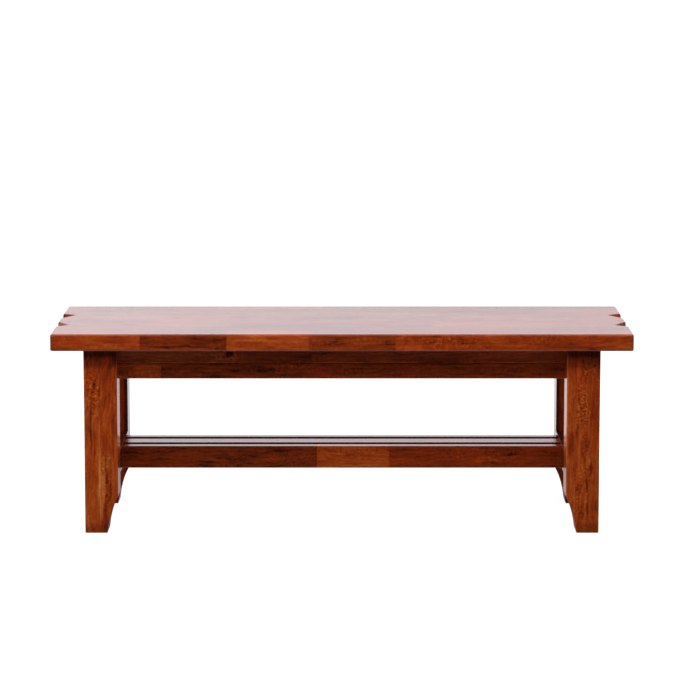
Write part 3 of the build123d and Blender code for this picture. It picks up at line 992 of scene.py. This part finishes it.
def fit_hardware():
    """Bolts through the corner blocks, their washers and nuts, and the wood screws."""
    apron_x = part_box("right_apron")[0][0]
    apron_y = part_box("rear_apron")[0][1]
    block_low, block_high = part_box("rear_right_block")
    long_side = block_high[0] - block_low[0]
    short_side = long_side - block_thickness * 2 ** 0.5
    screw_side = short_side + (long_side - short_side) * block_screw_share
    middle_side = (short_side + long_side) / 2
    bolt_z = sum(corner[2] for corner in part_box("leg_bolts")) / 2
    bolt_seats, block_seats, rising_seats = [], [], []
    seat_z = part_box("centre_batten")[0][2]
    shift = block_seat_screw_offset / 2 ** 0.5
    for end, side in corner_pairs():
        bolt_place = (end * (apron_x - long_side / 2), side * (apron_y - long_side / 2), bolt_z)
        bolt_seats.append((bolt_place, Vector((-end, -side, 0)).normalized()))
        into_long = (end * (apron_x - screw_side), side * (apron_y - block_screw_grip), bolt_z)
        into_end = (end * (apron_x - block_screw_grip), side * (apron_y - screw_side), bolt_z)
        block_seats += [(into_long, (0, -side, 0)), (into_end, (-end, 0, 0))]
        for way in (-1, 1):
            x = end * (apron_x - middle_side / 2 + way * shift)
            y = side * (apron_y - middle_side / 2 - way * shift)
            rising_seats.append(((x, y, seat_z), (0, 0, -1)))
    board_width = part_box("seat_board_1")[1][1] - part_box("seat_board_1")[0][1]
    for step in range(batten_screw_count):
        y = (step - (batten_screw_count - 1) / 2) * board_width
        rising_seats.append(((0, y, seat_z), (0, 0, -1)))

    zinc = zinc_plate()
    bolt = {"Radius": bolt_radius, "Depth": bolt_depth, "Reach": bolt_reach, "Pitch": bolt_pitch}
    make_hardware("leg_bolts", bolt_seats, bolt, bolt_shape, zinc)
    washer = {
        "Bore": bolt_radius + washer_clearance,
        "Radius": washer_radius,
        "Foot": 0,
        "Height": washer_thickness,
        "Chamfer": washer_chamfer,
        "Flats": 4 * washer_radius,
    }
    make_hardware("leg_bolt_washers", bolt_seats, washer, ring_shape, zinc)
    nut = {
        "Bore": bolt_radius + nut_clearance,
        "Radius": nut_across_flats / 3 ** 0.5,
        "Foot": washer_thickness,
        "Height": nut_height,
        "Chamfer": nut_chamfer,
        "Flats": nut_across_flats,
    }
    make_hardware("leg_bolt_nuts", bolt_seats, nut, ring_shape, zinc)
    kinds = {
        "corner_block_screws": (block_seats, block_screw_radius, block_screw_length, block_screw_head),
        "seat_screws": (rising_seats, seat_screw_radius, seat_screw_length, seat_screw_head),
    }
    for node, (seats, radius, length, (head_radius, head_height)) in kinds.items():
        screw = {
            "Radius": radius,
            "Length": length,
            "Head radius": head_radius,
            "Head height": head_height,
            "Pitch": radius * screw_pitch_share,
        }
        make_hardware(node, seats, screw, screw_shape, zinc)


def make_floor():
    """A plain white floor, pure white from a few paces off, with faint shadows by the feet."""
    corners = [(-1, -1), (1, -1), (1, 1), (-1, 1)]
    mesh = bpy.data.meshes.new("floor")
    places = [(x * floor_reach, y * floor_reach, -floor_drop) for x, y in corners]
    mesh.from_pydata(places, [], [range(4)])
    floor = bpy.data.objects.new("floor", mesh)
    bpy.context.scene.collection.objects.link(floor)
    white = Finish("floor_white")
    x, y, _ = white.node("ShaderNodeTexCoord", output="Object").parts()
    glow = ((x * x + y * y) ** 0.5).ease(*floor_glow_radii, floor_glow, far_floor_glow)
    matt = white.node("ShaderNodeBsdfDiffuse", {}, {"Color": (floor_white,) * 3 + (1,)})
    lit = white.node("ShaderNodeAddShader", {}, [
        matt,
        white.node("ShaderNodeEmission", {}, {"Strength": glow}),
    ])
    clear = white.node("ShaderNodeBsdfTransparent")
    from_below = white.node("ShaderNodeNewGeometry", output="Backfacing")
    shader = white.node("ShaderNodeMixShader", {}, [from_below, lit, clear])
    mesh.materials.append(white.end(shader))
    floor.visible_diffuse = False
    floor.visible_glossy = False


def make_room():
    """A white room: bright behind the bench and below it, dark in front of it."""
    world = bpy.data.worlds.new("studio")
    world.use_nodes = True
    bpy.context.scene.world = world
    nodes = Nodes(world.node_tree)
    x, y, z = nodes.node("ShaderNodeTexCoord", output="Generated").parts()
    level = (x * x + y * y) ** 0.5
    way_round = y / level.most(0.001)
    behind = way_round.ease(*backdrop_sides) * z.ease(*backdrop_foot) * z.ease(*backdrop_head)
    front = way_round.ease(*front_sides) * abs(z).ease(*front_heights)
    shine = side_shine + (front_shine - side_shine) * front
    shine = shine + (backdrop_shine - side_shine) * behind * (1 - x * backdrop_fall)
    shine = shine + z.ease(*ceiling_heights) * ceiling_shine + z.ease(*floor_heights) * floor_shine
    seen = nodes.node("ShaderNodeLightPath", output="Is Camera Ray")
    mirrored = nodes.node("ShaderNodeLightPath", output="Is Glossy Ray")
    spread = nodes.node("ShaderNodeLightPath", output="Is Diffuse Ray")
    strength = seen + mirrored * shine + spread * room_light
    colour = nodes.blend(mirrored, (1, 1, 1, 1), backdrop_tint)
    background = nodes.node("ShaderNodeBackground", {}, [colour, strength])
    nodes.node("ShaderNodeOutputWorld", {}, [background])


def make_lights():
    """Rectangular lights that each face a point, out of the camera's sight."""
    for name, (place, aim, width, height, power, mirrored) in softboxes.items():
        light = bpy.data.lights.new(name, "AREA")
        light.shape = "RECTANGLE"
        light.size = width
        light.size_y = height
        light.energy = power
        softbox = bpy.data.objects.new(name, light)
        softbox.location = place
        softbox.rotation_euler = (Vector(aim) - Vector(place)).to_track_quat("-Z", "Y").to_euler()
        softbox.visible_camera = False
        softbox.visible_glossy = mirrored
        bpy.context.scene.collection.objects.link(softbox)


def make_camera():
    """The photograph's camera: a long lens, a little above the bench and tipped down to it."""
    camera = bpy.data.cameras.new("camera")
    camera.sensor_width = sensor_width
    camera.lens = focal_length_pixels * sensor_width / picture_side
    camera.shift_x = (picture_side / 2 - lens_axis_pixel[0]) / picture_side
    camera.shift_y = (lens_axis_pixel[1] - picture_side / 2) / picture_side
    camera.clip_end = farthest_sight
    holder = bpy.data.objects.new("camera", camera)
    holder.location = camera_place
    holder.rotation_euler = (radians(90) - camera_dip, 0, 0)
    bpy.context.scene.collection.objects.link(holder)
    bpy.context.scene.camera = holder


make_camera()
make_room()
make_lights()
make_floor()
dress_seat()
dress_legs()
chances = random.Random(wood_seed + 1)
dress_aprons(chances)
dress_shelf(chances)
dress_inside()
fit_hardware()
bpy.context.scene.view_settings.view_transform = "Standard"
